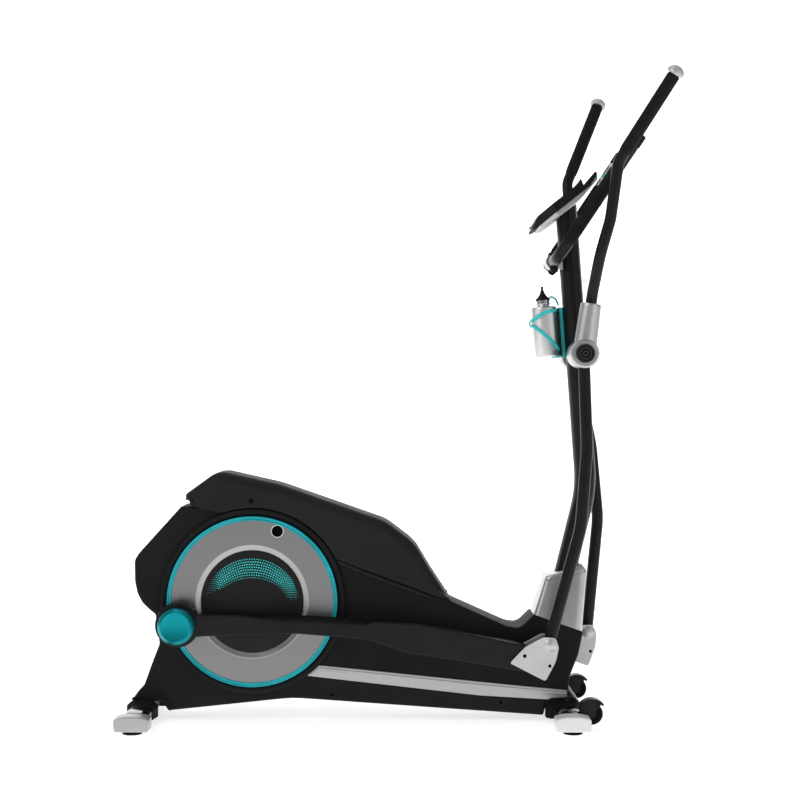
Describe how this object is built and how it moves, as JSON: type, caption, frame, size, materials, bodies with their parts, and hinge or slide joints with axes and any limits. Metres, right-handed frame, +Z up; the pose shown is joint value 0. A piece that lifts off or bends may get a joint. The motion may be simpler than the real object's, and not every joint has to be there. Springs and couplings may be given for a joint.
{
  "type": "elliptical cross trainer",
  "caption": "Rear-drive elliptical cross trainer with swinging handles, pedal bars, crank discs, console, fixed handlebar and drink bottle.",
  "frame": {"origin": "middle of the machine's length and width, on the floor that its four feet stand on", "axes": "+X towards the console and the transport wheels, +Y to the rider's left, +Z up"},
  "size_m": [1.4056, 0.6408, 1.6766],
  "materials": {
    "frame_black": "satin",
    "casing_black": "satin",
    "silver_plastic": "metallic satin",
    "pale_silver": "satin",
    "teal_plastic": "glossy",
    "chrome": "polished",
    "bottle_steel": "brushed",
    "cast_iron": "machined",
    "rubber": "matte",
    "grip_rubber": "matte",
    "lens_dark": "glossy"
  },
  "bodies": {
    "frame": {"main_frame": "frame_black", "rear_stabiliser": "frame_black", "front_stabiliser": "frame_black", "rear_end_cap_right": "pale_silver", "rear_end_cap_left": "pale_silver", "front_end_cap_right": "pale_silver", "front_end_cap_left": "pale_silver", "rear_foot_right": "rubber", "rear_foot_left": "rubber", "front_foot_right": "rubber", "front_foot_left": "rubber", "housing_right": "casing_black", "housing_left": "casing_black", "top_cover": "casing_black", "side_trim_right": "silver_plastic", "side_trim_left": "silver_plastic", "mast": "frame_black", "base_cover_right": "silver_plastic", "base_cover_left": "silver_plastic", "pivot_axle": "chrome", "console_housing": "casing_black", "console_back": "pale_silver", "display_lens": "lens_dark", "fixed_handlebar": "frame_black", "handlebar_clamp": "silver_plastic", "bottle_cage": "teal_plastic", "drive_belt": "rubber"},
    "crank": {"crankshaft": "cast_iron", "crank_disc_right": "silver_plastic", "crank_disc_left": "silver_plastic", "drive_pulley": "casing_black"},
    "flywheel": {"flywheel": "cast_iron"},
    "magnets": {"magnet_bracket": "frame_black"},
    "wheel_right": {"transport_wheel_right": "rubber"},
    "wheel_left": {"transport_wheel_left": "rubber"},
    "mode_button": {"mode_button": "silver_plastic"},
    "down_button": {"down_button": "silver_plastic"},
    "up_button": {"up_button": "silver_plastic"},
    "bottle": {"bottle": "bottle_steel", "bottle_cap": "casing_black"},
    "arm_right": {"lower_arm_right": "frame_black", "pivot_hub_right": "silver_plastic", "handle_right": "frame_black", "grip_right": "grip_rubber", "handle_cap_right": "chrome", "pivot_cap_right": "casing_black"},
    "bar_right": {"pedal_bar_right": "frame_black", "foot_plate_right": "casing_black", "crank_cap_right": "teal_plastic", "clevis_cover_right": "pale_silver"},
    "arm_left": {"lower_arm_left": "frame_black", "pivot_hub_left": "silver_plastic", "handle_left": "frame_black", "grip_left": "grip_rubber", "handle_cap_left": "chrome", "pivot_cap_left": "casing_black"},
    "bar_left": {"pedal_bar_left": "frame_black", "foot_plate_left": "casing_black", "crank_cap_left": "teal_plastic", "clevis_cover_left": "pale_silver"}
  },
  "joints": [
    {"name": "crank_spin", "type": "hinge", "parent": "frame", "child": "crank", "pos_m": [-0.37429, 0, 0.3107], "axis": [0, 1, 0], "continuous": true},
    {"name": "flywheel_spin", "type": "hinge", "parent": "frame", "child": "flywheel", "pos_m": [-0.03869, 0, 0.26], "axis": [0, 1, 0], "continuous": true},
    {"name": "magnet_lift", "type": "hinge", "parent": "frame", "child": "magnets", "pos_m": [-0.10599, 0, 0.3677], "axis": [0, -1, 0], "range_deg": [0, 8]},
    {"name": "arm_right_swing", "type": "hinge", "parent": "frame", "child": "arm_right", "pos_m": [0.47461, 0, 0.9473], "axis": [0, -1, 0], "range_deg": [-1, 29.7]},
    {"name": "arm_left_swing", "type": "hinge", "parent": "frame", "child": "arm_left", "pos_m": [0.47461, 0, 0.9473], "axis": [0, -1, 0], "range_deg": [-10.7, 19.9]},
    {"name": "bar_right_swing", "type": "hinge", "parent": "arm_right", "child": "bar_right", "pos_m": [0.38631, 0, 0.20876], "axis": [0, -1, 0], "range_deg": [-29.8, 1.1]},
    {"name": "bar_left_swing", "type": "hinge", "parent": "arm_left", "child": "bar_left", "pos_m": [0.51318, 0, 0.2045], "axis": [0, -1, 0], "range_deg": [-20, 10.8]},
    {"name": "wheel_right_spin", "type": "hinge", "parent": "frame", "child": "wheel_right", "pos_m": [0.48911, -0.186, 0.0404], "axis": [0, 1, 0], "continuous": true},
    {"name": "wheel_left_spin", "type": "hinge", "parent": "frame", "child": "wheel_left", "pos_m": [0.48911, 0.186, 0.0404], "axis": [0, 1, 0], "continuous": true},
    {"name": "bottle_lift", "type": "slide", "parent": "frame", "child": "bottle", "axis": [-0.0715, 0, 0.9974], "range_m": [0, 0.045]},
    {"name": "mode_press", "type": "slide", "parent": "frame", "child": "mode_button", "axis": [0.6184, 0, -0.7859], "range_m": [0, 0.0015], "stiffness_N_per_m": 300},
    {"name": "down_press", "type": "slide", "parent": "frame", "child": "down_button", "axis": [0.6184, 0, -0.7859], "range_m": [0, 0.0015], "stiffness_N_per_m": 300},
    {"name": "up_press", "type": "slide", "parent": "frame", "child": "up_button", "axis": [0.6184, 0, -0.7859], "range_m": [0, 0.0015], "stiffness_N_per_m": 300}
  ],
  "couplings": [
    {"joint": "flywheel_spin", "follows": "crank_spin", "ratio": 7.25},
    {"joint": "bar_right_swing", "follows": "arm_right_swing", "ratio": -1},
    {"joint": "bar_left_swing", "follows": "arm_left_swing", "ratio": -1}
  ]
}
